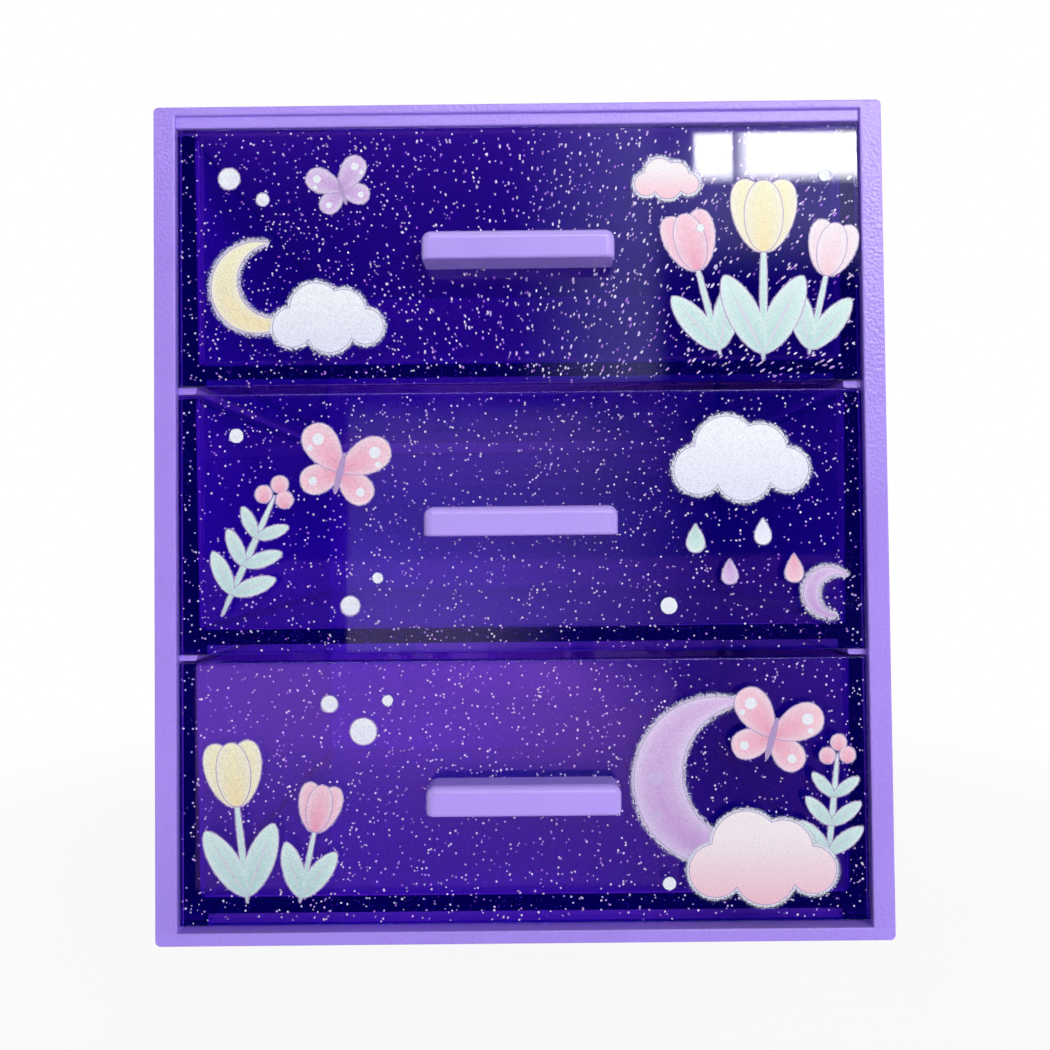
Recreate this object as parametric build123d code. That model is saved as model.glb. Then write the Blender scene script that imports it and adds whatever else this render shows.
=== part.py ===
from build123d import *
import os

# Three-tier drawer organizer: a moulded case that is open at the front, with three drawers on ledges.
# Lengths are in millimetres and angles in degrees. +X is to the viewer's right, -Y is the front, +Z is up.
# The origin is on the underside, in the middle of the whole width and of the whole depth.

# Case
case_width = 120.0
case_depth = 113.3
side_wall = 3.6
top_wall = 1.45
floor_wall = 2.1
back_wall = 2.0
case_corner_radius = 0.9
rim_edge_radius = 0.3
back_edge_radius = 0.8
cavity_back_radius = 1.2

# A shallow step along the top of the opening, under which the top drawer closes
top_step_height = 1.95
top_step_depth = 0.6
top_step_radius = 0.3

# Ledges on the side walls and rails on the floor, which carry the drawers
ledge_reach = 2.9
ledge_thickness = 1.0
ledge_setback = 1.6
rail_setback = 5.3
ledge_edge_radius = 0.5

# Drawers, from the lowest tier to the highest
tiers = ("bottom", "middle", "top")
front_height = 42.7
front_thickness = 2.8
front_recess = 0.3
front_edge_radius = 0.25
side_clearance = 0.25
lift_clearance = 0.25
rear_clearance = 1.2
body_inset = 0.15
wall_thickness = 1.7
wall_draft = 0.8
wall_drop = 0.4
wall_top_radius = 0.4
body_corner_radius = 2.6
hollow_corner_radius = 2.0
hollow_floor_radius = 0.8
floor_thickness = 2.3
floor_raise = 1.5
skid_width = 4.0

# Bar handles
handle_length = 30.8
handle_height = 4.7
handle_projection = 6.0
handle_corner_radius = 1.6
handle_front_radius = 1.5
handle_lower_radius = 0.5

# Pan-head screws that hold each handle from inside its drawer
screw_spacing = 18.0
screw_diameter = 2.0
screw_grip = 4.0
screw_hole_clearance = 0.2
pilot_hole_clearance = 0.05
pilot_hole_spare = 0.6
head_diameter = 3.8
head_height = 1.3
head_dome_radius = 0.6
head_seat_clearance = 0.3
drive_slot_length = 2.0
drive_slot_width = 0.45
drive_slot_depth = 0.6

# Sizes that follow from the ones above
tier_pitch = ledge_thickness + front_height + lift_clearance
cavity_width = case_width - 2 * side_wall
cavity_depth = case_depth - back_wall
cavity_height = len(tiers) * tier_pitch
cavity_top = floor_wall + cavity_height
case_height = cavity_top + top_step_height + top_wall
handle_overhang = handle_projection - front_recess
total_depth = handle_overhang + case_depth
rim_y = handle_overhang - total_depth / 2
front_width = cavity_width - 2 * side_clearance
body_width = front_width - 2 * body_inset
body_length = cavity_depth - front_recess - front_thickness - rear_clearance
body_height = front_height - wall_drop
hollow_depth = body_height - floor_raise - floor_thickness
screw_places = (-screw_spacing / 2, screw_spacing / 2)

# Boxes are placed by the middle of their front lower edge
FROM_FRONT = (Align.CENTER, Align.MIN, Align.MIN)


def ledge(side, height, setback):
    """One ledge or rail, from its setback behind the rim to the back wall; side is -1 or 1."""
    length = cavity_depth - setback
    root = side_wall / 2
    bar = Box(ledge_reach + root, length, ledge_thickness, align=(Align.MAX, Align.MIN, Align.MIN))
    lower_edges = bar.edges().filter_by(Axis.Y).group_by(Axis.Z)[0]
    bar = fillet(lower_edges.sort_by(Axis.X)[0], ledge_edge_radius)
    if side < 0:
        bar = mirror(bar, Plane.YZ)
    return Pos(side * (cavity_width / 2 + root), rim_y + setback, height) * bar


def case_shell():
    """Sides, top, floor and back, with softened long edges and a rounded front rim."""
    outside = Pos(0, rim_y, 0) * Box(case_width, case_depth, case_height, align=FROM_FRONT)
    outside = fillet(outside.edges().filter_by(Axis.Y), case_corner_radius)
    outside = fillet(outside.faces().sort_by(Axis.Y)[-1].edges(), back_edge_radius)
    inside = Box(cavity_width, cavity_depth, cavity_height, align=FROM_FRONT)
    inside = fillet(inside.faces().sort_by(Axis.Y)[-1].edges(), cavity_back_radius)
    step = Box(cavity_width, top_step_depth, top_step_height, align=FROM_FRONT)
    shell = outside - Pos(0, rim_y, floor_wall) * inside - Pos(0, rim_y, cavity_top) * step
    step_edge = shell.edges().sort_by_distance((0, rim_y + top_step_depth, cavity_top))[0]
    shell = fillet(step_edge, top_step_radius)
    return fillet(shell.faces().sort_by(Axis.Y)[0].edges(), rim_edge_radius)


def case():
    """The whole case moulding: the shell, the floor rails of the lowest tier and the ledges of the others."""
    moulding = case_shell()
    for side in (-1, 1):
        moulding += ledge(side, floor_wall, rail_setback)
        for tier in range(1, len(tiers)):
            moulding += ledge(side, floor_wall + tier * tier_pitch, ledge_setback)
    return moulding


def drawer_hollow():
    """The inside of a drawer, which narrows downwards by the wall draft and is rounded at the floor."""
    length = body_length - wall_thickness
    mouth = Plane(origin=(0, front_thickness + length / 2, body_height), z_dir=(0, 0, -1))
    outline = mouth * RectangleRounded(body_width - 2 * wall_thickness, length, hollow_corner_radius)
    hollow = extrude(outline, hollow_depth, taper=wall_draft)
    return fillet(hollow.faces().sort_by(Axis.Z)[0].edges(), hollow_floor_radius)


def along_y(x, start, length, radius):
    """A round pin or hole at a handle screw's place, from start towards the back."""
    pin = Cylinder(radius, length, align=(Align.CENTER, Align.CENTER, Align.MIN))
    return Pos(x, start, front_height / 2) * Rot(-90, 0, 0) * pin


def drawer():
    """One drawer moulding, with its front face at Y 0, its skids at Z 0 and its hollow open at the top."""
    front = Box(front_width, front_thickness, front_height, align=FROM_FRONT)
    front = fillet(front.faces().sort_by(Axis.Y)[0].edges(), front_edge_radius)
    body = Box(body_width, body_length, body_height, align=FROM_FRONT)
    body = fillet(body.edges().filter_by(Axis.Z).group_by(Axis.Y)[-1], body_corner_radius)
    body = fillet(body.faces().sort_by(Axis.Z)[-1].edges().sort_by(Axis.Y)[1:], wall_top_radius)
    moulding = front + Pos(0, front_thickness, 0) * body - drawer_hollow()
    channel = Box(body_width - 2 * skid_width, body_length, floor_raise, align=FROM_FRONT)
    moulding -= Pos(0, front_thickness, 0) * channel
    for x in screw_places:
        moulding -= along_y(x, 0, front_thickness, screw_diameter / 2 + screw_hole_clearance)
        moulding -= along_y(x, front_thickness, head_height, head_diameter / 2 + head_seat_clearance)
    return moulding


def handle():
    """One bar handle, with its back on the drawer front at Y 0 and a pilot hole for each screw."""
    bar = Box(handle_length, handle_projection, handle_height, align=(Align.CENTER, Align.MAX, Align.CENTER))
    bar = fillet(bar.edges().filter_by(Axis.Y).group_by(Axis.Z)[-1], handle_corner_radius)
    front_edges = bar.faces().sort_by(Axis.Y)[0].edges().sort_by(Axis.Z)
    bar = fillet(front_edges[1:], handle_front_radius)
    bar = fillet(bar.faces().sort_by(Axis.Z)[0].edges().sort_by(Axis.Y)[:-1], handle_lower_radius)
    bar = Pos(0, 0, front_height / 2) * bar
    pilot_depth = screw_grip + pilot_hole_spare
    for x in screw_places:
        bar -= along_y(x, -pilot_depth, pilot_depth, screw_diameter / 2 + pilot_hole_clearance)
    return bar


def screw(x):
    """One screw: its head on the inside of the drawer front, its shank through the front into the handle."""
    shank = along_y(x, -screw_grip, screw_grip + front_thickness, screw_diameter / 2)
    head = along_y(x, front_thickness, head_height, head_diameter / 2)
    head = fillet(head.edges().sort_by(Axis.Y)[-1], head_dome_radius)
    slot_place = Pos(x, front_thickness + head_height - drive_slot_depth, front_height / 2)
    slot = Box(drive_slot_length, drive_slot_depth, drive_slot_width, align=(Align.CENTER, Align.MIN, Align.CENTER))
    cross = slot + Rot(0, 90, 0) * slot
    return shank + head - slot_place * cross


def main():
    os.makedirs("parts", exist_ok=True)
    export_step(case(), "parts/case.step")
    for tier, name in enumerate(tiers):
        place = Pos(0, rim_y + front_recess, floor_wall + ledge_thickness + tier * tier_pitch)
        export_step(place * drawer(), f"parts/drawer_{name}.step")
        export_step(place * handle(), f"parts/handle_{name}.step")
        screws = Compound([place * screw(x) for x in screw_places])
        export_step(screws, f"parts/screws_{name}.step")


main()
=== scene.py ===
import cmath
import math
import random

import bmesh
import bpy
from mathutils import Matrix, Vector

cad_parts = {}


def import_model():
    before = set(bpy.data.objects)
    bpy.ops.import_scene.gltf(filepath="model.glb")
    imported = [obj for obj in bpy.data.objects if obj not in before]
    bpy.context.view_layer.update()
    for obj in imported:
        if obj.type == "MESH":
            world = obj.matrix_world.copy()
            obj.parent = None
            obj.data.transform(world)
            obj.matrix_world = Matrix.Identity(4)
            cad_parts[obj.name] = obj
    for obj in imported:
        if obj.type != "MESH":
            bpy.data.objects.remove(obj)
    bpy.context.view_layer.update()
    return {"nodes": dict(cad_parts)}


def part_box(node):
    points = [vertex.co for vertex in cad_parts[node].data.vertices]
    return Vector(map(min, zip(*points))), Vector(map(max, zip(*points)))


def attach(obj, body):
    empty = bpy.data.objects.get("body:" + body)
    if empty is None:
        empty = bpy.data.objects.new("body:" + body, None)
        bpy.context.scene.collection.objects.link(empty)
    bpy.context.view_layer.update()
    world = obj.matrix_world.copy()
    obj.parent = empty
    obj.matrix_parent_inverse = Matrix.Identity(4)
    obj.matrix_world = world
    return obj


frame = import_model()

# Three-tier drawer organizer: a lavender case, and three clear violet drawers with glitter and bar handles.
# Lengths are in millimetres here and turn into metres where they reach Blender. Colours are linear.
# Textures are in repeats for each metre, and a pair of roughnesses is the range that a noise runs through.
MM = 0.001
TIERS = ("bottom", "middle", "top")

# Camera, fitted to the corners of the case and to the handles in the photograph; its turns are in degrees
CAMERA_PLACE = (1.0, -204.85, 64.8)
CAMERA_PITCH = 1.14
CAMERA_YAW = 0.13
CAMERA_ROLL = -0.59
CAMERA_FOCUS = 31.74
SENSOR_WIDTH = 36.0
CAMERA_NEAR = 5.0

# The middle part of a noise's values, which is spread over the whole range of a roughness
NOISE_SPAN = (0.25, 0.75)

# Lavender plastic of the case and of the handles
LAVENDER = (0.385, 0.26, 0.85)
LAVENDER_DEEP = (0.355, 0.235, 0.80)
HANDLE_LAVENDER = (0.44, 0.32, 0.87)
HANDLE_DEEP = (0.425, 0.305, 0.85)
LAVENDER_IOR = 1.49
FLOW_CLOUDS = 55.0
CASE_ROUGHNESS = (0.26, 0.36)
HANDLE_ROUGHNESS = (0.18, 0.24)
RIPPLES = 260.0
RIPPLE_DEPTH = 0.05
RIPPLE_STRENGTH = 0.15

# Pebbled grain of the case: full on the front rim, and fading to a share of that between two depths behind it
PEBBLES = 2000.0
PEBBLE_DEPTH = 0.09
RIM_GRAIN = (0.4, 0.9)
SIDE_GRAIN = 0.05

# Clear violet plastic of the drawers: what its faces and its thickness let through, and its milky share
VIOLET_CLEAR = (0.97, 0.96, 0.99)
VIOLET_FACE = (0.94, 0.92, 0.96)
VIOLET_PASSED = (0.608, 0.0, 0.917)
VIOLET_DENSITY = 324.0
VIOLET_MILK = (0.01, 0.001, 0.9)
VIOLET_MILK_SHARE = 0.065
VIOLET_IOR = 1.54
VIOLET_CLOUDS = 120.0
VIOLET_ROUGHNESS = (0.01, 0.04)

# Foil of the flakes and steel of the screws
FOIL_COOL = (0.97, 0.93, 1.0)
FOIL_WARM = (1.0, 0.98, 0.92)
FOIL_CELLS = 700.0
FOIL_ROUGHNESS = (0.22, 0.4)
FOIL_METAL = 0.2
STEEL = (0.62, 0.61, 0.63)
STEEL_DARK = (0.5, 0.5, 0.52)
STEEL_ROUGHNESS = (0.22, 0.38)
TURNING_MARKS = 1800.0
MARK_DEPTH = 0.03
MARK_STRENGTH = 0.15

# Studio: a pale floor that turns white away from the object, a dim room, and dark flags for the reflections
WHITE = (1.0, 1.0, 1.0)
FLOOR_PALE = (0.72, 0.72, 0.72)
FLOOR_REACH = 4000.0
FLOOR_ROUGHNESS = 0.9
FLOOR_SHINE = 0.1
FLOOR_WHITENS = (80.0, 220.0)
FLOOR_WHITE_SHARE = 0.9
ROOM_LIGHT = 0.2
FLAG_DARK = (0.01, 0.01, 0.014)
FLAG_EDGES = (-1500, 1500, 0, 1800, -1100)
FLOOR_FLAG = ((-460, -1100, 1), (460, -1100, 1), (60, -57, 1), (-60, -57, 1))

# Cards that only reflections show: name, axes, outline, colour, strength, and the shares that fade at the two
# ends of each axis. The outline of an upright card, XZ, is its left, right, low and high edge and its place
# in front, and that of a lying card, XY, is its corners.
HAZE = (0.55, 0.52, 0.9)
VEIL = (1.0, 0.75, 0.85)
MAT = (0.72, 0.3, 1.0)
MIST = (0.62, 0.57, 1.0)
MAT_CORNERS = ((-184, -418, 2), (83, -418, 2), (28, -71.6, 2), (-60, -71.6, 2))
FAR_MAT_LIFT = 1
FAR_MAT_CORNERS = tuple((x, y, z + FAR_MAT_LIFT) for x, y, z in MAT_CORNERS)
CARDS = (
    # Pale veils over the middle and the lower front, and a coloured mat in the lower one
    ("veil", "XZ", (-101, 110, 17.7, 149, -420), VEIL, 0.54, ((0.02, 0.45), (0.01, 0.15))),
    ("low_veil", "XZ", (-101, 30, 5, 84, -419), VEIL, 0.95, ((0.015, 0.6), (0.01, 0.8))),
    ("mat", "XY", MAT_CORNERS, MAT, 0.7, ((0.01, 0.3), (0.15, 0.01))),
    ("far_mat", "XY", FAR_MAT_CORNERS, MAT, 2.3, ((0.01, 0.3), (0.15, 0.45))),
    # Haze and mist in the upper front, and a sheen at the right end of the rim
    ("haze", "XZ", (60, 460, 315, 500, -801), HAZE, 2.2, ((0.4, 0.3), (0.4, 0.3))),
    ("sheen", "XZ", (385, 640, 400, 640, -800), WHITE, 30.0, ((0.3, 0.3), (0.3, 0.3))),
    ("mist", "XZ", (-20, 145, 215, 485, -802), MIST, 1.3, ((0.8, 0.18), (0.05, 0.05))),
    # Soft light along the handles and the top rim
    ("strip", "XZ", (-420, 420, 560, 900, -803), WHITE, 6.0, ((0.2, 0.2), (0.1, 0.4))),
    ("glare", "XZ", (60, 640, 488, 700, -797), WHITE, 5.0, ((0.35, 0.1), (0.1, 0.3))),
    # The two panes of a window
    ("window_165", "XZ", (165, 207, 411, 466, -799), WHITE, 24.0, ((0.15, 0.08), (0.3, 0.1))),
    ("window_203", "XZ", (203, 348, 411, 466, -798), WHITE, 24.0, ((0.15, 0.08), (0.3, 0.1))),
)

# Lamps: place, target, width, height and watts; the unmirrored ones stay out of what gloss and plastic show
FRONT_MIDDLE = (0, -54, 68)
LAMPS = {
    "key_right": ((720, -700, 620), FRONT_MIDDLE, 520, 520, 0.75),
    "fill_left": ((-820, -620, 420), FRONT_MIDDLE, 560, 560, 0.6),
    "overhead": ((0, -260, 1000), (0, -100, 0), 700, 700, 0.8),
    "side_right": ((900, 260, 500), FRONT_MIDDLE, 500, 500, 2.6),
    "side_left": ((-900, 260, 450), FRONT_MIDDLE, 500, 500, 2.2),
    "behind": ((-100, 950, 600), FRONT_MIDDLE, 500, 500, 2.6),
    "front_high": ((300, -900, 480), FRONT_MIDDLE, 560, 320, 3.4),
    "front_low": ((300, -900, 45), (0, -54, 30), 500, 80, 3.0),
}
UNMIRRORED = ("front_high", "front_low")

# Glitter: flakes in each plate of a drawer, the shape of a flake, and where the melt drew flakes out
FLAKE_SEED = 11
FRONT_FLAKES = {"bottom": 2000, "middle": 2000, "top": 2500}
FLOOR_FLAKES = 1200
SIDE_FLAKES = 560
BACK_FLAKES = 560
FLAKE_RADIUS = (0.09, 0.2)
FLAKE_THICKNESS = 0.05
FLAKE_TILT = 18.0
FLAKE_SIDES = 6
FLOW_STRETCH = 2.2
FLOW_START = -40.0
FLOW_LENGTH = 80.0
FLOW_FOOT = 65.0
FLOW_MARGIN = 1.2
SURFACE_MARGIN = 0.06
FRONT_CROWD = 4.0

# Plates of a drawer in which the flakes lie
FRONT_PLATE = 2.8
BACK_PLATE = 1.7
SIDE_PLATE = 1.5
FRONT_LAP = 0.3
FLOOR_SPAN = (1.5, 3.75)
SKID = 4.0
CORNER = 3.0
WALL_DROP = 0.5
EDGE_MARGIN = 0.4

# Room in the front for the handle's screws, which flakes keep clear of
SCREW_PLACES = (-9.0, 9.0)
SCREW_ROOM = 2.8
SCREW_REACH = 5.0

# Inks of the prints, each with its deep and its pale tone
WHITE_INK = (0.80, 0.84, 0.90)
LINE_INK = (0.42, 0.30, 0.55)
INKS = {
    "white": ((0.72, 0.74, 0.88), (0.84, 0.87, 0.92)),
    "pink": ((0.78, 0.27, 0.42), (0.90, 0.62, 0.70)),
    "blush": ((0.86, 0.52, 0.62), (0.88, 0.82, 0.84)),
    "lilac": ((0.46, 0.26, 0.62), (0.70, 0.50, 0.78)),
    "cream": ((0.84, 0.70, 0.36), (0.88, 0.87, 0.62)),
    "mint": ((0.36, 0.62, 0.60), (0.66, 0.84, 0.80)),
}

# Prints on each front: motif, ink, place right of and above the front's middle, size, and turn in degrees
PRINTS = {
    "top": (
        ("moon", "cream", -43.0, -5.0, 15.0, 20.0),
        ("cloud", "white", -31.5, -10.5, 19.0, 0.0),
        ("butterfly", "lilac", -29.0, 11.0, 11.0, 18.0),
        ("bubble", "white", -47.5, 13.0, 3.4, 0.0),
        ("bubble", "white", -42.0, 9.5, 2.0, 0.0),
        ("tulip", "pink", 33.0, -17.0, 25.0, 14.0),
        ("tulip", "blush", 47.5, -17.0, 23.0, -13.0),
        ("tulip", "cream", 40.0, -18.0, 31.0, -1.0),
        ("cloud", "blush", 24.5, 12.0, 11.0, 0.0),
        ("dot", "white", 50.5, 12.5, 1.8, 0.0),
        ("dot", "white", 30.0, 4.0, 1.2, 0.0),
    ),
    "middle": (
        ("sprig", "mint", -49.0, -15.0, 25.0, -24.0),
        ("butterfly", "pink", -29.5, 8.5, 16.0, -14.0),
        ("dot", "white", -46.5, 14.5, 2.2, 0.0),
        ("dot", "white", -23.5, -9.0, 1.6, 0.0),
        ("bubble", "white", -28.0, -13.5, 3.0, 0.0),
        ("cloud", "white", 36.0, 9.5, 23.0, 0.0),
        ("drop", "mint", 28.5, -3.0, 4.6, 0.0),
        ("drop", "lilac", 34.0, -8.5, 4.0, 0.0),
        ("drop", "white", 39.5, -2.0, 4.2, 0.0),
        ("drop", "pink", 44.5, -8.0, 4.6, 0.0),
        ("moon", "lilac", 50.0, -12.0, 8.0, -15.0),
        ("dot", "white", 24.0, -14.0, 2.6, 0.0),
    ),
    "bottom": (
        ("tulip", "cream", -45.0, -17.5, 27.0, 6.0),
        ("tulip", "pink", -36.5, -17.5, 20.0, -12.0),
        ("bubble", "white", -26.0, 10.0, 4.2, 0.0),
        ("bubble", "white", -31.5, 14.5, 2.6, 0.0),
        ("dot", "white", -22.0, 15.0, 1.6, 0.0),
        ("moon", "lilac", 31.5, 1.5, 27.0, 12.0),
        ("sprig", "mint", 49.0, -14.0, 23.0, -6.0),
        ("butterfly", "pink", 40.5, 8.5, 16.0, -16.0),
        ("cloud", "blush", 38.5, -11.5, 25.0, 0.0),
        ("dot", "white", 23.5, -15.0, 2.0, 0.0),
    ),
}

# Layers of ink: how high they lie, how far lines and sprayed edges reach, and the steps of an outline.
# Colours are set at some shares of the way across a shape; pale and deep shares are of white and of line ink.
INK_BASE = 0.02
INK_STEP = 0.001
LINE_REACH = 0.14
EDGE_SPRAY = 0.25
SOFT_SPRAY = 1.1
OUTLINE_STEPS = 22
SAME_PLACE = 0.0001
ACROSS_SHARES = (0.0, 0.25, 0.5, 0.75, 1.0)
PALE_EDGE = 0.45
PALE_SPRAY = 0.6
PALE_LINE = 0.5
PALE_RING = 0.35
DEEP_VEIN = 0.4

# Grain of the ink
INK_GRAIN = 5200.0
INK_SPECK = (0.8, 0.8, 0.84)
SPECK_SPAN = (0.38, 0.56)
INK_ROUGHNESS = (0.42, 0.6)
SPRAY_SOFTNESS = 0.1

# Round details of the motifs, in shares of the motif's size: right, up and radius
MOON_RINGS = ((-0.4, -0.13, 0.035), (-0.36, 0.1, 0.05))
CLOUD_PUFFS = (
    (-0.3, -0.06, 0.17),
    (-0.1, 0.1, 0.22),
    (0.14, 0.07, 0.19),
    (0.33, -0.06, 0.15),
    (0.02, -0.08, 0.2),
)
WING_SPOTS = ((0.30, 0.27, 0.06), (0.25, -0.16, 0.045), (0.36, 0.16, 0.03))
BERRIES = ((-0.07, 0.84, 0.055), (0.07, 0.86, 0.055), (0.0, 0.94, 0.055))

# Petals and leaves of the motifs: length and width in shares of the motif's size, then point and taper
DROP = (1.0, 0.85, 1.0, 1.2)
UPPER_WING = (0.56, 0.42, 0.9, 0.7)
LOWER_WING = (0.42, 0.34, 0.9, 0.5)
FEELER = (0.34, 0.035, 1.0, 0.0)
BUTTERFLY_BODY = (0.44, 0.07, 0.8, 0.0)
LEAF = (1.0, 0.36, 1.3, 0.0)
LEAF_VEIN = (0.8, 0.03, 1.0, 0.0)
TULIP_STEM = (0.66, 0.035, 1.0, 0.0)
OUTER_PETAL = (0.4, 0.21, 0.95, 0.1)
INNER_PETAL = (0.38, 0.21, 0.95, 0.1)
SPRIG_STEM = (0.86, 0.035, 1.0, 0.0)

# Places of the motifs' parts, in shares of the motif's size, and their turns in degrees
CLOUD_FOOT = 0.28
CLOUD_RISE = 0.45
GLINT_RADIUS = 0.36
GLINT_BITE = 0.92
GLINT_SHIFT = 0.3
UPPER_WING_TURN = -48
LOWER_WING_TURN = -122
FEELER_TURN = -24
FEELER_FOOT = 0.05
BODY_DROP = 0.24
TULIP_LEAF = 0.46
TULIP_LEAF_FOOT = 0.04
TULIP_LEAF_TURN = 27
TULIP_CUP_FOOT = 0.58
TULIP_PETAL_TURN = 17
SPRIG_PAIRS = 3
SPRIG_LEAF = 0.3
SPRIG_LEAF_SHRINK = 0.04
SPRIG_LEAF_FOOT = 0.16
SPRIG_LEAF_STEP = 0.2
SPRIG_LEAF_TURN = 48


def millimetres(corner):
    return Vector(corner) / MM


def new_material(name):
    """A material with its node tree and its shader."""
    material = bpy.data.materials.new(name)
    material.use_nodes = True
    tree = material.node_tree
    return material, tree, tree.nodes["Principled BSDF"]


def node(tree, kind, **settings):
    """A shader node with some of its settings and inputs set by name."""
    made = tree.nodes.new(kind)
    for key, value in settings.items():
        if key in made.inputs:
            made.inputs[key].default_value = value
        else:
            setattr(made, key, value)
    return made


def noise(tree, scale, detail=3.0, roughness=0.55):
    """Noise fixed to the piece, with scale in repeats for each metre."""
    place = node(tree, "ShaderNodeTexCoord")
    made = node(tree, "ShaderNodeTexNoise", Scale=scale, Detail=detail, Roughness=roughness)
    tree.links.new(place.outputs["Object"], made.inputs["Vector"])
    return made


def blend_colours(tree, factor, first, second, low=0.3, high=0.7):
    """A colour between two, spread over the middle of a noise's range."""
    ramp = node(tree, "ShaderNodeValToRGB")
    ramp.color_ramp.elements[0].position = low
    ramp.color_ramp.elements[0].color = (*first, 1.0)
    ramp.color_ramp.elements[1].position = high
    ramp.color_ramp.elements[1].color = (*second, 1.0)
    tree.links.new(factor, ramp.inputs["Fac"])
    return ramp.outputs["Color"]


def spread(tree, factor, low, high):
    """A number between low and high that follows a noise."""
    made = node(tree, "ShaderNodeMapRange")
    made.inputs["From Min"].default_value = NOISE_SPAN[0]
    made.inputs["From Max"].default_value = NOISE_SPAN[1]
    made.inputs["To Min"].default_value = low
    made.inputs["To Max"].default_value = high
    tree.links.new(factor, made.inputs["Value"])
    return made.outputs["Result"]


def bump(tree, shader, height, strength, distance):
    """Fine relief on a shader, with its distance in millimetres."""
    made = node(tree, "ShaderNodeBump", Strength=strength, Distance=distance * MM)
    tree.links.new(height, made.inputs["Height"])
    tree.links.new(made.outputs["Normal"], shader.inputs["Normal"])
    return made


def mix_shaders(tree, first, second):
    """A shader between two, by its input Fac."""
    made = node(tree, "ShaderNodeMixShader")
    tree.links.new(first.outputs[0], made.inputs[1])
    tree.links.new(second.outputs[0], made.inputs[2])
    return made


def moulded_plastic(name, colour, deep, roughness):
    """Opaque moulded plastic: faint flow clouds in the colour and a slightly uneven gloss."""
    material, tree, shader = new_material(name)
    clouds = noise(tree, FLOW_CLOUDS, detail=4.0)
    tree.links.new(blend_colours(tree, clouds.outputs["Fac"], deep, colour), shader.inputs["Base Color"])
    tree.links.new(spread(tree, clouds.outputs["Fac"], *roughness), shader.inputs["Roughness"])
    shader.inputs["IOR"].default_value = LAVENDER_IOR
    return material, tree, shader


def case_plastic():
    """The case's plastic, with the pebbled grain of its mould, which is coarse on the front rim alone."""
    material, tree, shader = moulded_plastic("lavender_moulding", LAVENDER, LAVENDER_DEEP, CASE_ROUGHNESS)
    place = node(tree, "ShaderNodeTexCoord")
    pebbles = node(tree, "ShaderNodeTexVoronoi", feature="SMOOTH_F1", Scale=PEBBLES)
    tree.links.new(place.outputs["Object"], pebbles.inputs["Vector"])
    grain = bump(tree, shader, pebbles.outputs["Distance"], 1.0, PEBBLE_DEPTH)
    split = node(tree, "ShaderNodeSeparateXYZ")
    tree.links.new(place.outputs["Object"], split.inputs["Vector"])
    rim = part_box("case")[0][1]
    fading = node(tree, "ShaderNodeMapRange")
    fading.inputs["From Min"].default_value = rim + RIM_GRAIN[0] * MM
    fading.inputs["From Max"].default_value = rim + RIM_GRAIN[1] * MM
    fading.inputs["To Min"].default_value = 1.0
    fading.inputs["To Max"].default_value = SIDE_GRAIN
    tree.links.new(split.outputs["Y"], fading.inputs["Value"])
    tree.links.new(fading.outputs["Result"], grain.inputs["Strength"])
    return material


def handle_plastic():
    """The handles' smoother plastic, with a faint ripple from the mould."""
    material, tree, shader = moulded_plastic("lavender_bar", HANDLE_LAVENDER, HANDLE_DEEP, HANDLE_ROUGHNESS)
    ripple = noise(tree, RIPPLES, detail=2.0)
    bump(tree, shader, ripple.outputs["Fac"], RIPPLE_STRENGTH, RIPPLE_DEPTH)
    return material


def clear_violet():
    """Clear violet plastic: it darkens with the way that light travels through it, and is faintly milky."""
    material, tree, shader = new_material("clear_violet")
    clouds = noise(tree, VIOLET_CLOUDS)
    tint = blend_colours(tree, clouds.outputs["Fac"], VIOLET_CLEAR, WHITE)
    gloss = spread(tree, clouds.outputs["Fac"], *VIOLET_ROUGHNESS)
    shader.inputs["Transmission Weight"].default_value = 1.0
    tree.links.new(tint, shader.inputs["Base Color"])
    milk = node(tree, "ShaderNodeBsdfPrincipled")
    milk.inputs["Base Color"].default_value = (*VIOLET_MILK, 1.0)
    for layer in (shader, milk):
        layer.inputs["IOR"].default_value = VIOLET_IOR
        tree.links.new(gloss, layer.inputs["Roughness"])
    body = mix_shaders(tree, shader, milk)
    body.inputs["Fac"].default_value = VIOLET_MILK_SHARE
    open_to_lamps = node(tree, "ShaderNodeBsdfTransparent")
    open_to_lamps.inputs["Color"].default_value = (*VIOLET_FACE, 1.0)
    whole = mix_shaders(tree, body, open_to_lamps)
    path = node(tree, "ShaderNodeLightPath")
    tree.links.new(path.outputs["Is Shadow Ray"], whole.inputs["Fac"])
    absorb = node(tree, "ShaderNodeVolumeAbsorption", Density=VIOLET_DENSITY)
    absorb.inputs["Color"].default_value = (*VIOLET_PASSED, 1.0)
    output = tree.nodes["Material Output"]
    tree.links.new(absorb.outputs["Volume"], output.inputs["Volume"])
    tree.links.new(whole.outputs["Shader"], output.inputs["Surface"])
    return material


def flake_foil():
    """Pearly foil flakes, each with its own faint tint."""
    material, tree, shader = new_material("flake_foil")
    place = node(tree, "ShaderNodeTexCoord")
    cells = node(tree, "ShaderNodeTexVoronoi", Scale=FOIL_CELLS)
    tree.links.new(place.outputs["Object"], cells.inputs["Vector"])
    tint = blend_colours(tree, cells.outputs["Color"], FOIL_COOL, FOIL_WARM)
    tree.links.new(tint, shader.inputs["Base Color"])
    tree.links.new(spread(tree, cells.outputs["Distance"], *FOIL_ROUGHNESS), shader.inputs["Roughness"])
    shader.inputs["Metallic"].default_value = FOIL_METAL
    return material


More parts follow.
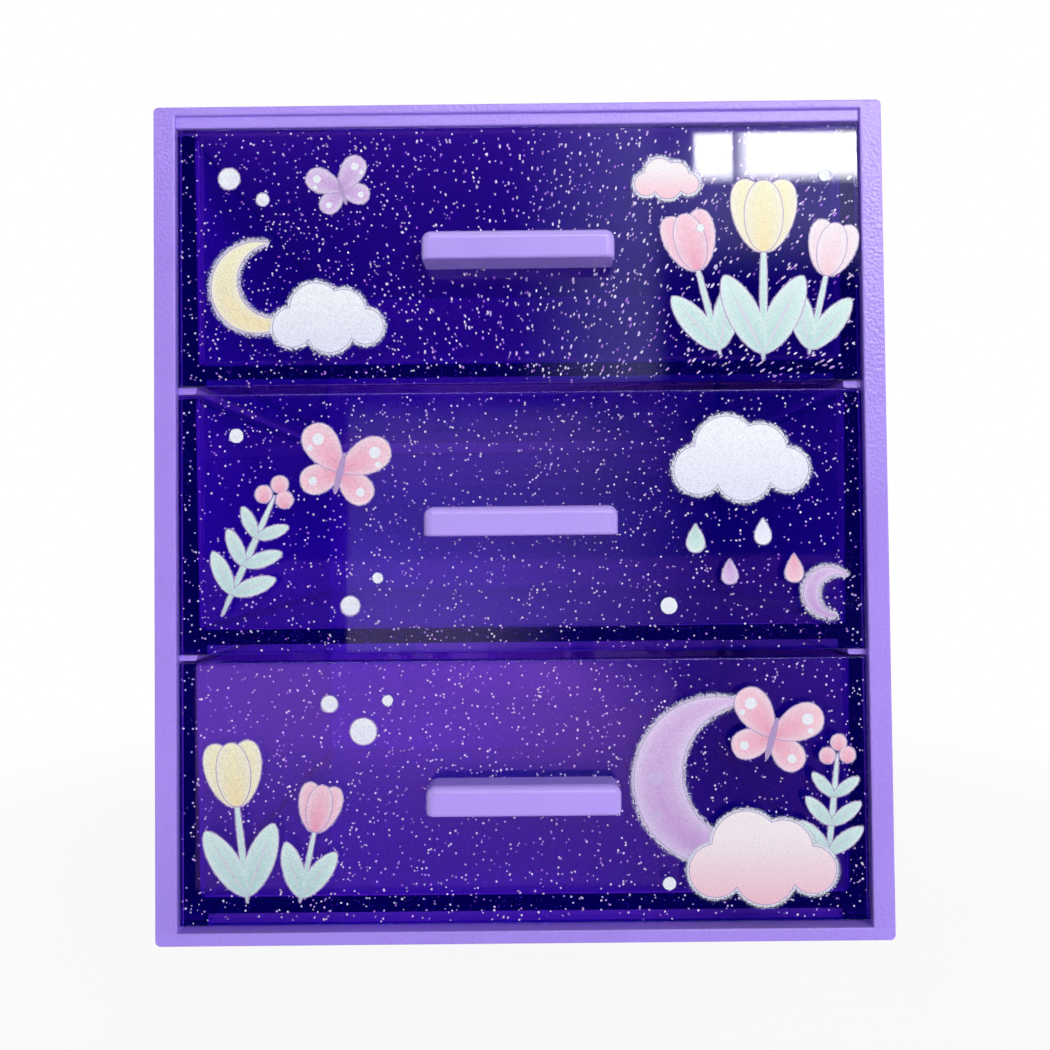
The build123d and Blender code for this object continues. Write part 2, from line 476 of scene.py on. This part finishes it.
def screw_steel():
    """Bright steel with fine turning marks."""
    material, tree, shader = new_material("turned_steel")
    marks = noise(tree, TURNING_MARKS, detail=2.0)
    tone = blend_colours(tree, marks.outputs["Fac"], STEEL_DARK, STEEL)
    tree.links.new(tone, shader.inputs["Base Color"])
    tree.links.new(spread(tree, marks.outputs["Fac"], *STEEL_ROUGHNESS), shader.inputs["Roughness"])
    shader.inputs["Metallic"].default_value = 1.0
    bump(tree, shader, marks.outputs["Fac"], MARK_STRENGTH, MARK_DEPTH)
    return material


def dress_nodes():
    """Gives every CAD node its material."""
    looks = {
        "case": case_plastic(),
        "drawer": clear_violet(),
        "handle": handle_plastic(),
        "screws": screw_steel(),
    }
    for name, piece in frame["nodes"].items():
        look = looks[name.split("_")[0]]
        piece.data.materials.clear()
        piece.data.materials.append(look)


class Wall:
    """A plate of a drawer in which flakes lie: two corners, its thin axis and where its outer face is."""

    def __init__(self, low, high, axis, outer):
        self.low = Vector(low)
        self.high = Vector(high)
        self.axis = axis
        self.outer = outer


def flake_corners(place, normal, turn, radius, flow):
    """The two hexagons of one flake, drawn out along a flow."""
    across = normal.orthogonal().normalized()
    along = normal.cross(across)
    half = normal * FLAKE_THICKNESS / 2
    corners = []
    for face in (-1, 1):
        for k in range(FLAKE_SIDES):
            a = turn + math.tau * k / FLAKE_SIDES
            reach = radius * (math.cos(a) * across + math.sin(a) * along)
            corners.append(place + face * half + reach + flow * reach.dot(flow))
    return corners


def flake_faces(first):
    """The faces of one flake whose corners start at a number."""
    lower = [first + k for k in range(FLAKE_SIDES)]
    upper = [k + FLAKE_SIDES for k in lower]
    faces = [tuple(reversed(lower)), tuple(upper)]
    for k in range(FLAKE_SIDES):
        n = (k + 1) % FLAKE_SIDES
        faces.append((lower[k], lower[n], upper[n], upper[k]))
    return faces


def scatter(draw, wall, count, near_surface, blocked):
    """Flakes in a wall: most lie nearly flat, and more are near its outer face if near_surface is over 1."""
    found = []
    while len(found) < count:
        radius = draw.uniform(*FLAKE_RADIUS)
        tilt = math.radians(abs(draw.gauss(0.0, FLAKE_TILT)))
        lean = draw.uniform(0.0, math.tau)
        normal = Vector((math.sin(tilt) * math.cos(lean), math.sin(tilt) * math.sin(lean), math.cos(tilt)))
        normal = Vector([normal[(i - wall.axis - 1) % 3] for i in range(3)])
        margin = radius * abs(math.sin(tilt)) + FLAKE_THICKNESS + SURFACE_MARGIN
        thick = wall.high[wall.axis] - wall.low[wall.axis] - 2 * margin
        place = Vector([draw.uniform(wall.low[i] + radius, wall.high[i] - radius) for i in range(3)])
        depth = margin + max(thick, 0.0) * draw.random() ** near_surface
        place[wall.axis] = wall.outer + depth * (1 if wall.outer == wall.low[wall.axis] else -1)
        if thick > 0 and not blocked(place):
            found.append((place, normal, draw.uniform(0.0, math.tau), radius))
    return found


def drawer_walls(tier, low, high):
    """The plates of one drawer between its box corners: front, floor, two sides and back."""
    front, back = low.y + FRONT_PLATE, high.y - BACK_PLATE
    left, right = low.x + FRONT_LAP, high.x - FRONT_LAP
    under, floor = low.z + FLOOR_SPAN[0], low.z + FLOOR_SPAN[1]
    foot, top = low.z + EDGE_MARGIN, high.z - EDGE_MARGIN
    wall_top, wall_end = top - WALL_DROP, back - CORNER
    yield Wall((left, low.y, foot), (right, front, top), 1, low.y), FRONT_FLAKES[tier], FRONT_CROWD
    yield Wall((left + SKID, front, under), (right - SKID, back, floor), 2, floor), FLOOR_FLAKES, 1.0
    yield Wall((left, front, foot), (left + SIDE_PLATE, wall_end, wall_top), 0, left), SIDE_FLAKES, 1.0
    yield Wall((right - SIDE_PLATE, front, foot), (right, wall_end, wall_top), 0, right), SIDE_FLAKES, 1.0
    yield Wall((left + CORNER, back, foot), (right - CORNER, high.y, wall_top), 1, high.y), BACK_FLAKES, 1.0


def flow_at(draw, tier, place, low, high):
    """How far and which way the melt drew out a flake: only in the top front, more towards its right end."""
    share = min(max((place.x - FLOW_START) / FLOW_LENGTH, 0.0), 1.0) * draw.random()
    edge = min(high.x - place.x, place.x - low.x, high.z - place.z, place.z - low.z)
    if tier != "top" or place.y > low.y + FRONT_PLATE or edge < FLOW_MARGIN:
        return Vector((0.0, 0.0, 0.0))
    return Vector((place.x, 0.0, place.z - FLOW_FOOT)).normalized() * math.sqrt(FLOW_STRETCH * share)


def glitter(tier, look):
    """All the flakes of one drawer, as one piece that rides on it."""
    low, high = (millimetres(c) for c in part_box(f"drawer_{tier}"))
    draw = random.Random(TIERS.index(tier) + FLAKE_SEED)
    middle = (low.z + high.z) / 2

    def at_screw(place):
        near = any(math.hypot(place.x - x, place.z - middle) < SCREW_ROOM for x in SCREW_PLACES)
        return near and place.y < low.y + SCREW_REACH

    corners, faces = [], []
    for wall, count, near_surface in drawer_walls(tier, low, high):
        for flake in scatter(draw, wall, count, near_surface, at_screw):
            faces += flake_faces(len(corners))
            corners += flake_corners(*flake, flow_at(draw, tier, flake[0], low, high))
    return new_piece(f"glitter_{tier}", corners, faces, look, f"{tier}_drawer")


def mixed(first, second, share):
    return tuple(a + (b - a) * share for a, b in zip(first, second))


def turned(degrees):
    """A turn of a flat point, counter-clockwise as seen from the front."""
    return cmath.exp(1j * math.radians(degrees))


def petal(length, width, point=1.0, taper=0.0):
    """Both sides of an upright petal: round at point 1, sharper above it, slimmer at its foot by taper."""
    left, right = [], []
    for k in range(OUTLINE_STEPS + 1):
        a = math.pi * k / OUTLINE_STEPS
        half = width / 2 * math.sin(a) ** point * math.sin(a / 2) ** taper
        up = 1j * length * (1 - math.cos(a)) / 2
        left.append(up - half)
        right.append(up + half)
    return left, right


def sized(shape, size):
    """One of the petals above, for a motif of some size."""
    length, width, point, taper = shape
    return petal(length * size, width * size, point, taper)


def disc(radius):
    return moved(petal(2 * radius, 2 * radius), -1j * radius)


def crescent(radius, bite=0.84, shift=0.42):
    """Outer and inner side of a moon that is open to the right."""
    cut, middle = bite * radius, shift * radius
    tip = (radius**2 - cut**2 + middle**2) / (2 * middle)
    outer_turn = math.pi - math.acos(tip / radius)
    inner_turn = math.pi - math.acos((tip - middle) / cut)
    left, right = [], []
    for k in range(2 * OUTLINE_STEPS + 1):
        share = 1 - k / OUTLINE_STEPS
        left.append(radius * cmath.exp(1j * (math.pi + share * outer_turn)))
        right.append(middle + cut * cmath.exp(1j * (math.pi + share * inner_turn)))
    return left, right


def moved(sides, place, turn=1.0):
    return tuple([place + turn * p for p in side] for side in sides)


def mirrored(sides):
    """The same shape with left and right swapped."""
    left, right = sides
    return [-p.conjugate() for p in right], [-p.conjugate() for p in left]


def grown(sides, reach):
    """The same shape with its outline moved outwards."""
    left, right = sides
    loop = left + right[::-1]
    wide = []
    for i, p in enumerate(loop):
        around = loop[i:] + loop[:i]
        apart = [q for q in around if abs(q - p) > SAME_PLACE]
        along = apart[0] - apart[-1]
        wide.append(p + 1j * reach * along / abs(along))
    return wide[: len(left)], wide[len(left) :][::-1]


class Ink:
    """The prints of one drawer front. Places on it are complex numbers: right and up from its middle."""

    def __init__(self):
        self.layers = []
        self.motif = 0

    def add(self, level, rows, sprayed=False):
        """One layer of ink over rows of (place, colour); later motifs and higher levels lie on top."""
        self.layers.append((self.motif, level, len(self.layers), rows, sprayed))

    def fill(self, sides, level, shade):
        """Ink between two sides; shade gives its colour from the place and the shares along and across."""
        rows = []
        for i, (a, b) in enumerate(zip(*sides)):
            along = i / (len(sides[0]) - 1)
            places = [(s, a + (b - a) * s) for s in ACROSS_SHARES]
            rows.append([(p, (*shade(p, along, abs(2 * s - 1)), 1.0)) for s, p in places])
        self.add(level, rows)

    def plain(self, sides, level, colour):
        self.fill(sides, level, lambda place, along, across: colour)

    def spray(self, sides, colour, reach):
        """A sprayed edge round a shape, which thins outwards."""
        loops = []
        for away in (reach, -LINE_REACH):
            left, right = grown(sides, away)
            loops.append(left + right[::-1] + left[:1])
        rows = [[(a, (*colour, 0.0)), (b, (*colour, 1.0))] for a, b in zip(*loops)]
        self.add(0, rows, True)

    def paint(self, sides, level, ink, reach=EDGE_SPRAY):
        """A shape in one ink, deeper at its foot and paler at its end and edges, with its outline."""
        deep, pale = INKS[ink]

        def shade(place, along, across):
            return mixed(mixed(deep, pale, along), WHITE_INK, PALE_EDGE * across**2)

        self.spray(sides, mixed(LINE_INK, WHITE_INK, PALE_SPRAY), LINE_REACH + reach)
        self.plain(grown(sides, LINE_REACH), level, LINE_INK)
        self.fill(sides, level + 1, shade)

    def mesh(self, middle, face):
        """Corners, faces, colours and sprayed marks of all layers, stacked in front of the drawer front."""
        corners, faces, colours, sprayed = [], [], [], []
        for order, (*_, rows, is_spray) in enumerate(sorted(self.layers, key=lambda layer: layer[:3])):
            lift = INK_BASE + order * INK_STEP
            first, width = len(corners), len(rows[0]) + (0 if is_spray else 2)
            for row in rows:
                stack = [(lift, *spot) for spot in row]
                if not is_spray:
                    stack = [(0.0, *row[0]), *stack, (0.0, *row[-1])]
                for height, place, colour in stack:
                    corners.append((middle.real + place.real, face - height, middle.imag + place.imag))
                    colours.extend(colour)
            for i in range(len(rows) - 1):
                for k in range(width - 1):
                    c = first + i * width + k
                    faces.append((c, c + 1, c + width + 1, c + width))
                    sprayed.append(int(is_spray))
        return corners, faces, colours, sprayed


def draw_moon(ink, colour, place, size, turn):
    """A crescent with two rings on it and a sprayed edge."""
    ink.paint(moved(crescent(size / 2), place, turn), 1, colour, SOFT_SPRAY)
    for x, y, radius in MOON_RINGS:
        ring = moved(disc(size * radius), place + size * turn * complex(x, y))
        ink.plain(ring, 3, mixed(INKS[colour][0], WHITE_INK, PALE_RING))


def draw_cloud(ink, colour, place, size, turn):
    """Round puffs over a flatter base, deeper below, with a sprayed edge."""
    deep, pale = INKS[colour]
    low = place.imag - CLOUD_FOOT * size

    def shade(spot, along, across):
        return mixed(deep, pale, min((spot.imag - low) / (CLOUD_RISE * size), 1.0))

    for x, y, radius in CLOUD_PUFFS:
        puff = moved(disc(size * radius), place + size * turn * complex(x, y))
        ink.spray(puff, WHITE_INK, SOFT_SPRAY)
        ink.plain(grown(puff, LINE_REACH), 1, LINE_INK)
        ink.fill(puff, 2, shade)


def draw_bubble(ink, colour, place, size, turn):
    """A round bubble with a rim and a small glint."""
    ink.paint(moved(disc(size / 2), place), 1, colour)
    glint = crescent(size * GLINT_RADIUS, GLINT_BITE, GLINT_SHIFT)
    ink.plain(moved(glint, place, turn), 3, WHITE_INK)


def draw_dot(ink, colour, place, size, turn):
    """A white dot with a soft edge."""
    dot = moved(disc(size / 2), place)
    ink.spray(dot, WHITE_INK, EDGE_SPRAY)
    ink.plain(dot, 1, WHITE_INK)


def draw_drop(ink, colour, place, size, turn):
    """A drop with its point up."""
    ink.paint(moved(sized(DROP, size), place + 1j * size / 2, -turn), 1, colour)


def draw_butterfly(ink, colour, place, size, turn):
    """Two pairs of wings with pale spots, a slim body and two feelers."""
    upper = moved(sized(UPPER_WING, size), 0.0, turned(UPPER_WING_TURN))
    lower = moved(sized(LOWER_WING, size), 0.0, turned(LOWER_WING_TURN))
    feeler = moved(sized(FEELER, size), 1j * FEELER_FOOT * size, turned(FEELER_TURN))
    for flip in (tuple, mirrored):
        ink.plain(moved(flip(feeler), place, turn), 1, mixed(LINE_INK, WHITE_INK, PALE_LINE))
        ink.paint(moved(flip(lower), place, turn), 1, colour)
        ink.paint(moved(flip(upper), place, turn), 3, colour)
        for x, y, radius in WING_SPOTS:
            spot = moved(disc(size * radius), size * complex(x, y))
            ink.plain(moved(flip(spot), place, turn), 5, WHITE_INK)
    body = moved(sized(BUTTERFLY_BODY, size), place - 1j * BODY_DROP * size * turn, turn)
    ink.plain(body, 6, LINE_INK)


def draw_leaf(ink, place, size, turn, level):
    """A pointed leaf with a pale vein; place is its foot."""
    ink.paint(moved(sized(LEAF, size), place, turn), level, "mint")
    vein = moved(sized(LEAF_VEIN, size), place, turn)
    ink.plain(vein, level + 2, mixed(WHITE_INK, LINE_INK, DEEP_VEIN))


def draw_tulip(ink, colour, place, size, turn):
    """A cup of three petals on a stem with two leaves; place is the foot of the stem."""
    ink.paint(moved(sized(TULIP_STEM, size), place, turn), 1, "mint")
    foot = place + 1j * TULIP_LEAF_FOOT * size * turn
    for side in (-1, 1):
        draw_leaf(ink, foot, size * TULIP_LEAF, turn * turned(side * TULIP_LEAF_TURN), 1)
    cup = place + 1j * TULIP_CUP_FOOT * size * turn
    for side in (-1, 1):
        outer = moved(sized(OUTER_PETAL, size), cup, turn * turned(side * TULIP_PETAL_TURN))
        ink.paint(outer, 4, colour)
    ink.paint(moved(sized(INNER_PETAL, size), cup, turn), 6, colour)


def draw_sprig(ink, colour, place, size, turn):
    """A stem with pairs of leaves and three berries at its end; place is the foot of the stem."""
    ink.paint(moved(sized(SPRIG_STEM, size), place, turn), 1, colour)
    for pair in range(SPRIG_PAIRS):
        foot = place + 1j * size * (SPRIG_LEAF_FOOT + SPRIG_LEAF_STEP * pair) * turn
        length = size * (SPRIG_LEAF - SPRIG_LEAF_SHRINK * pair)
        for side in (-1, 1):
            draw_leaf(ink, foot, length, turn * turned(side * SPRIG_LEAF_TURN), 2)
    for x, y, radius in BERRIES:
        ink.paint(moved(disc(size * radius), place + size * turn * complex(x, y)), 5, "pink")


MOTIFS = {
    "moon": draw_moon,
    "cloud": draw_cloud,
    "bubble": draw_bubble,
    "dot": draw_dot,
    "drop": draw_drop,
    "butterfly": draw_butterfly,
    "tulip": draw_tulip,
    "sprig": draw_sprig,
}


def prints(tier, look, spray_look):
    """All the prints of one drawer front, as one piece that rides on it."""
    low, high = (millimetres(c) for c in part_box(f"drawer_{tier}"))
    ink = Ink()
    for motif, colour, x, z, size, degrees in PRINTS[tier]:
        ink.motif += 1
        MOTIFS[motif](ink, colour, complex(x, z), size, turned(degrees))
    corners, faces, colours, sprayed = ink.mesh(complex(0.0, (low.z + high.z) / 2), low.y)
    piece = new_piece(f"print_{tier}", corners, faces, look, f"{tier}_drawer")
    piece.data.materials.append(spray_look)
    piece.data.polygons.foreach_set("material_index", sprayed)
    piece.data.color_attributes.new("ink", "FLOAT_COLOR", "POINT").data.foreach_set("color", colours)
    merged = bmesh.new()
    merged.from_mesh(piece.data)
    bmesh.ops.remove_doubles(merged, verts=merged.verts, dist=SAME_PLACE * MM)
    merged.to_mesh(piece.data)
    merged.free()


def ink_look(name, sprayed):
    """Matt ink with the fine grain of a print, which thins to a spray at its edge if asked."""
    material, tree, shader = new_material(name)
    colour = node(tree, "ShaderNodeVertexColor", layer_name="ink")
    grain = noise(tree, INK_GRAIN, detail=2.0)
    speck = blend_colours(tree, grain.outputs["Fac"], INK_SPECK, WHITE, *SPECK_SPAN)
    grained = node(tree, "ShaderNodeMix", data_type="RGBA", blend_type="MULTIPLY")
    grained.inputs["Factor"].default_value = 1.0
    tree.links.new(colour.outputs["Color"], grained.inputs["A"])
    tree.links.new(speck, grained.inputs["B"])
    tree.links.new(grained.outputs["Result"], shader.inputs["Base Color"])
    tree.links.new(spread(tree, grain.outputs["Fac"], *INK_ROUGHNESS), shader.inputs["Roughness"])
    if sprayed:
        thin = node(tree, "ShaderNodeMath", operation="SUBTRACT")
        cover = node(tree, "ShaderNodeMapRange")
        cover.inputs["From Min"].default_value = -SPRAY_SOFTNESS
        cover.inputs["From Max"].default_value = SPRAY_SOFTNESS
        tree.links.new(colour.outputs["Alpha"], thin.inputs[0])
        tree.links.new(spread(tree, grain.outputs["Fac"], 0.0, 1.0), thin.inputs[1])
        tree.links.new(thin.outputs["Value"], cover.inputs["Value"])
        tree.links.new(cover.outputs["Result"], shader.inputs["Alpha"])
    return material


def new_piece(name, corners, faces, look, body):
    """A mesh piece from corners in millimetres that rides on a body."""
    mesh = bpy.data.meshes.new(name)
    mesh.from_pydata([Vector(c) * MM for c in corners], [], faces)
    mesh.materials.append(look)
    piece = bpy.data.objects.new(name, mesh)
    bpy.context.collection.objects.link(piece)
    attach(piece, body)
    return piece


def soft_lamp(name, place, target, width, height, watts):
    """A soft box that faces a point."""
    lamp = bpy.data.lights.new(name, "AREA")
    lamp.shape = "RECTANGLE"
    lamp.size = width * MM
    lamp.size_y = height * MM
    lamp.energy = watts
    made = bpy.data.objects.new(name, lamp)
    made.location = Vector(place) * MM
    facing = Vector(target) - Vector(place)
    made.rotation_euler = facing.to_track_quat("-Z", "Y").to_euler()
    bpy.context.collection.objects.link(made)
    return made


def lights():
    """Soft boxes all round and above; some stay out of what gloss and clear plastic show."""
    for name, settings in LAMPS.items():
        lamp = soft_lamp(name, *settings)
        if name in UNMIRRORED:
            lamp.visible_glossy = False
            lamp.visible_transmission = False


def seen_directly(tree):
    """1 for rays from the camera and for what gloss and clear plastic show, and 0 for light that spreads."""
    path = node(tree, "ShaderNodeLightPath")
    total = path.outputs["Is Camera Ray"]
    for kind in ("Is Glossy Ray", "Is Transmission Ray"):
        either = node(tree, "ShaderNodeMath", operation="MAXIMUM")
        tree.links.new(total, either.inputs[0])
        tree.links.new(path.outputs[kind], either.inputs[1])
        total = either.outputs["Value"]
    return total


def world():
    """A dim even room, which is white where the camera, gloss or clear plastic looks at it."""
    made = bpy.data.worlds.new("studio")
    made.use_nodes = True
    tree = made.node_tree
    level = node(tree, "ShaderNodeMapRange")
    level.inputs["To Min"].default_value = ROOM_LIGHT
    level.inputs["To Max"].default_value = 1.0
    tree.links.new(seen_directly(tree), level.inputs["Value"])
    background = tree.nodes["Background"]
    background.inputs["Color"].default_value = (*WHITE, 1.0)
    tree.links.new(level.outputs["Result"], background.inputs["Strength"])
    bpy.context.scene.world = made


def plane(name, corners, material):
    """A flat part of the studio between four corners."""
    mesh = bpy.data.meshes.new(name)
    mesh.from_pydata([Vector(c) * MM for c in corners], [], [(0, 1, 2, 3)])
    mesh.materials.append(material)
    made = bpy.data.objects.new(name, mesh)
    bpy.context.collection.objects.link(made)
    return made


def edge_fade(tree, generated, axis, shares):
    """A number that rises from 0 at both ends of a card to 1 inside, along one of its axes."""
    split = node(tree, "ShaderNodeSeparateXYZ")
    tree.links.new(generated, split.inputs["Vector"])
    rise = []
    for low, high in ((0.0, shares[0]), (1.0, 1.0 - shares[1])):
        made = node(tree, "ShaderNodeMapRange", interpolation_type="SMOOTHSTEP")
        made.inputs["From Min"].default_value = low
        made.inputs["From Max"].default_value = high
        tree.links.new(split.outputs[axis], made.inputs["Value"])
        rise.append(made.outputs["Result"])
    both = node(tree, "ShaderNodeMath", operation="MULTIPLY")
    tree.links.new(rise[0], both.inputs[0])
    tree.links.new(rise[1], both.inputs[1])
    return both.outputs["Value"]


def glow_card(name, corners, axes, colour, strength, fades):
    """A card that only reflections see, with soft edges along its two axes."""
    material = bpy.data.materials.new(name)
    material.use_nodes = True
    tree = material.node_tree
    tree.nodes.clear()
    place = node(tree, "ShaderNodeTexCoord")
    cover = node(tree, "ShaderNodeMath", operation="MULTIPLY")
    for k in range(2):
        tree.links.new(edge_fade(tree, place.outputs["Generated"], axes[k], fades[k]), cover.inputs[k])
    light = node(tree, "ShaderNodeEmission", Strength=strength)
    light.inputs["Color"].default_value = (*colour, 1.0)
    clear = node(tree, "ShaderNodeBsdfTransparent")
    whole = mix_shaders(tree, clear, light)
    tree.links.new(cover.outputs["Value"], whole.inputs["Fac"])
    output = node(tree, "ShaderNodeOutputMaterial")
    tree.links.new(whole.outputs["Shader"], output.inputs["Surface"])
    only_mirrored(plane(name, corners, material))


def upright(left, right, low, high, distance):
    """Corners of an upright card in front of the object."""
    return [(left, distance, low), (right, distance, low), (right, distance, high), (left, distance, high)]


def only_mirrored(piece, through=False):
    """Shows a card in mirror images alone, and through clear plastic too if it is asked for."""
    piece.visible_camera = False
    piece.visible_diffuse = False
    piece.visible_transmission = through
    piece.visible_shadow = False


def pale_floor():
    """A pale floor that keeps the object's shadow and turns plain white away from it."""
    material, tree, shader = new_material("pale_floor")
    shader.inputs["Base Color"].default_value = (*FLOOR_PALE, 1.0)
    shader.inputs["Roughness"].default_value = FLOOR_ROUGHNESS
    shader.inputs["Specular IOR Level"].default_value = FLOOR_SHINE
    white = node(tree, "ShaderNodeEmission")
    place = node(tree, "ShaderNodeTexCoord")
    distance = node(tree, "ShaderNodeVectorMath", operation="LENGTH")
    far = node(tree, "ShaderNodeMapRange", interpolation_type="SMOOTHSTEP")
    far.inputs["From Min"].default_value = FLOOR_WHITENS[0] * MM
    far.inputs["From Max"].default_value = FLOOR_WHITENS[1] * MM
    far.inputs["To Min"].default_value = FLOOR_WHITE_SHARE
    tree.links.new(place.outputs["Object"], distance.inputs[0])
    tree.links.new(distance.outputs["Value"], far.inputs["Value"])
    share = node(tree, "ShaderNodeMath", operation="MULTIPLY")
    tree.links.new(far.outputs["Result"], share.inputs[0])
    tree.links.new(seen_directly(tree), share.inputs[1])
    whole = mix_shaders(tree, shader, white)
    tree.links.new(share.outputs["Value"], whole.inputs["Fac"])
    tree.links.new(whole.outputs["Shader"], tree.nodes["Material Output"].inputs["Surface"])
    return material


def dark_flag():
    """Matt black cloth."""
    material, tree, shader = new_material("dark_flag")
    shader.inputs["Base Color"].default_value = (*FLAG_DARK, 1.0)
    shader.inputs["Roughness"].default_value = 1.0
    shader.inputs["Specular IOR Level"].default_value = 0.0
    return material


def studio():
    """A pale floor, a dark flag behind the camera and one on the floor, and the cards that gloss shows."""
    far = FLOOR_REACH
    plane("floor", [(-far, -far, 0), (far, -far, 0), (far, far, 0), (-far, far, 0)], pale_floor())
    cloth = dark_flag()
    only_mirrored(plane("flag", upright(*FLAG_EDGES), cloth), through=True)
    only_mirrored(plane("floor_flag", FLOOR_FLAG, cloth))
    for name, axes, outline, colour, strength, fades in CARDS:
        corners = upright(*outline) if axes == "XZ" else outline
        glow_card(name, corners, axes, colour, strength, fades)


def camera():
    """The camera of the photograph."""
    lens = bpy.data.cameras.new("camera")
    lens.lens = CAMERA_FOCUS
    lens.sensor_width = SENSOR_WIDTH
    lens.clip_start = CAMERA_NEAR * MM
    made = bpy.data.objects.new("camera", lens)
    turn = Matrix.Rotation(math.radians(CAMERA_YAW), 4, "Z")
    turn @= Matrix.Rotation(math.radians(90.0 + CAMERA_PITCH), 4, "X")
    turn @= Matrix.Rotation(math.radians(CAMERA_ROLL), 4, "Z")
    made.matrix_world = Matrix.Translation(Vector(CAMERA_PLACE) * MM) @ turn
    bpy.context.collection.objects.link(made)
    bpy.context.scene.camera = made


def main():
    bpy.context.scene.view_settings.view_transform = "Standard"
    dress_nodes()
    foil = flake_foil()
    ink, sprayed = ink_look("print_ink", False), ink_look("print_spray", True)
    for tier in TIERS:
        glitter(tier, foil)
        prints(tier, ink, sprayed)
    world()
    studio()
    lights()
    camera()


main()
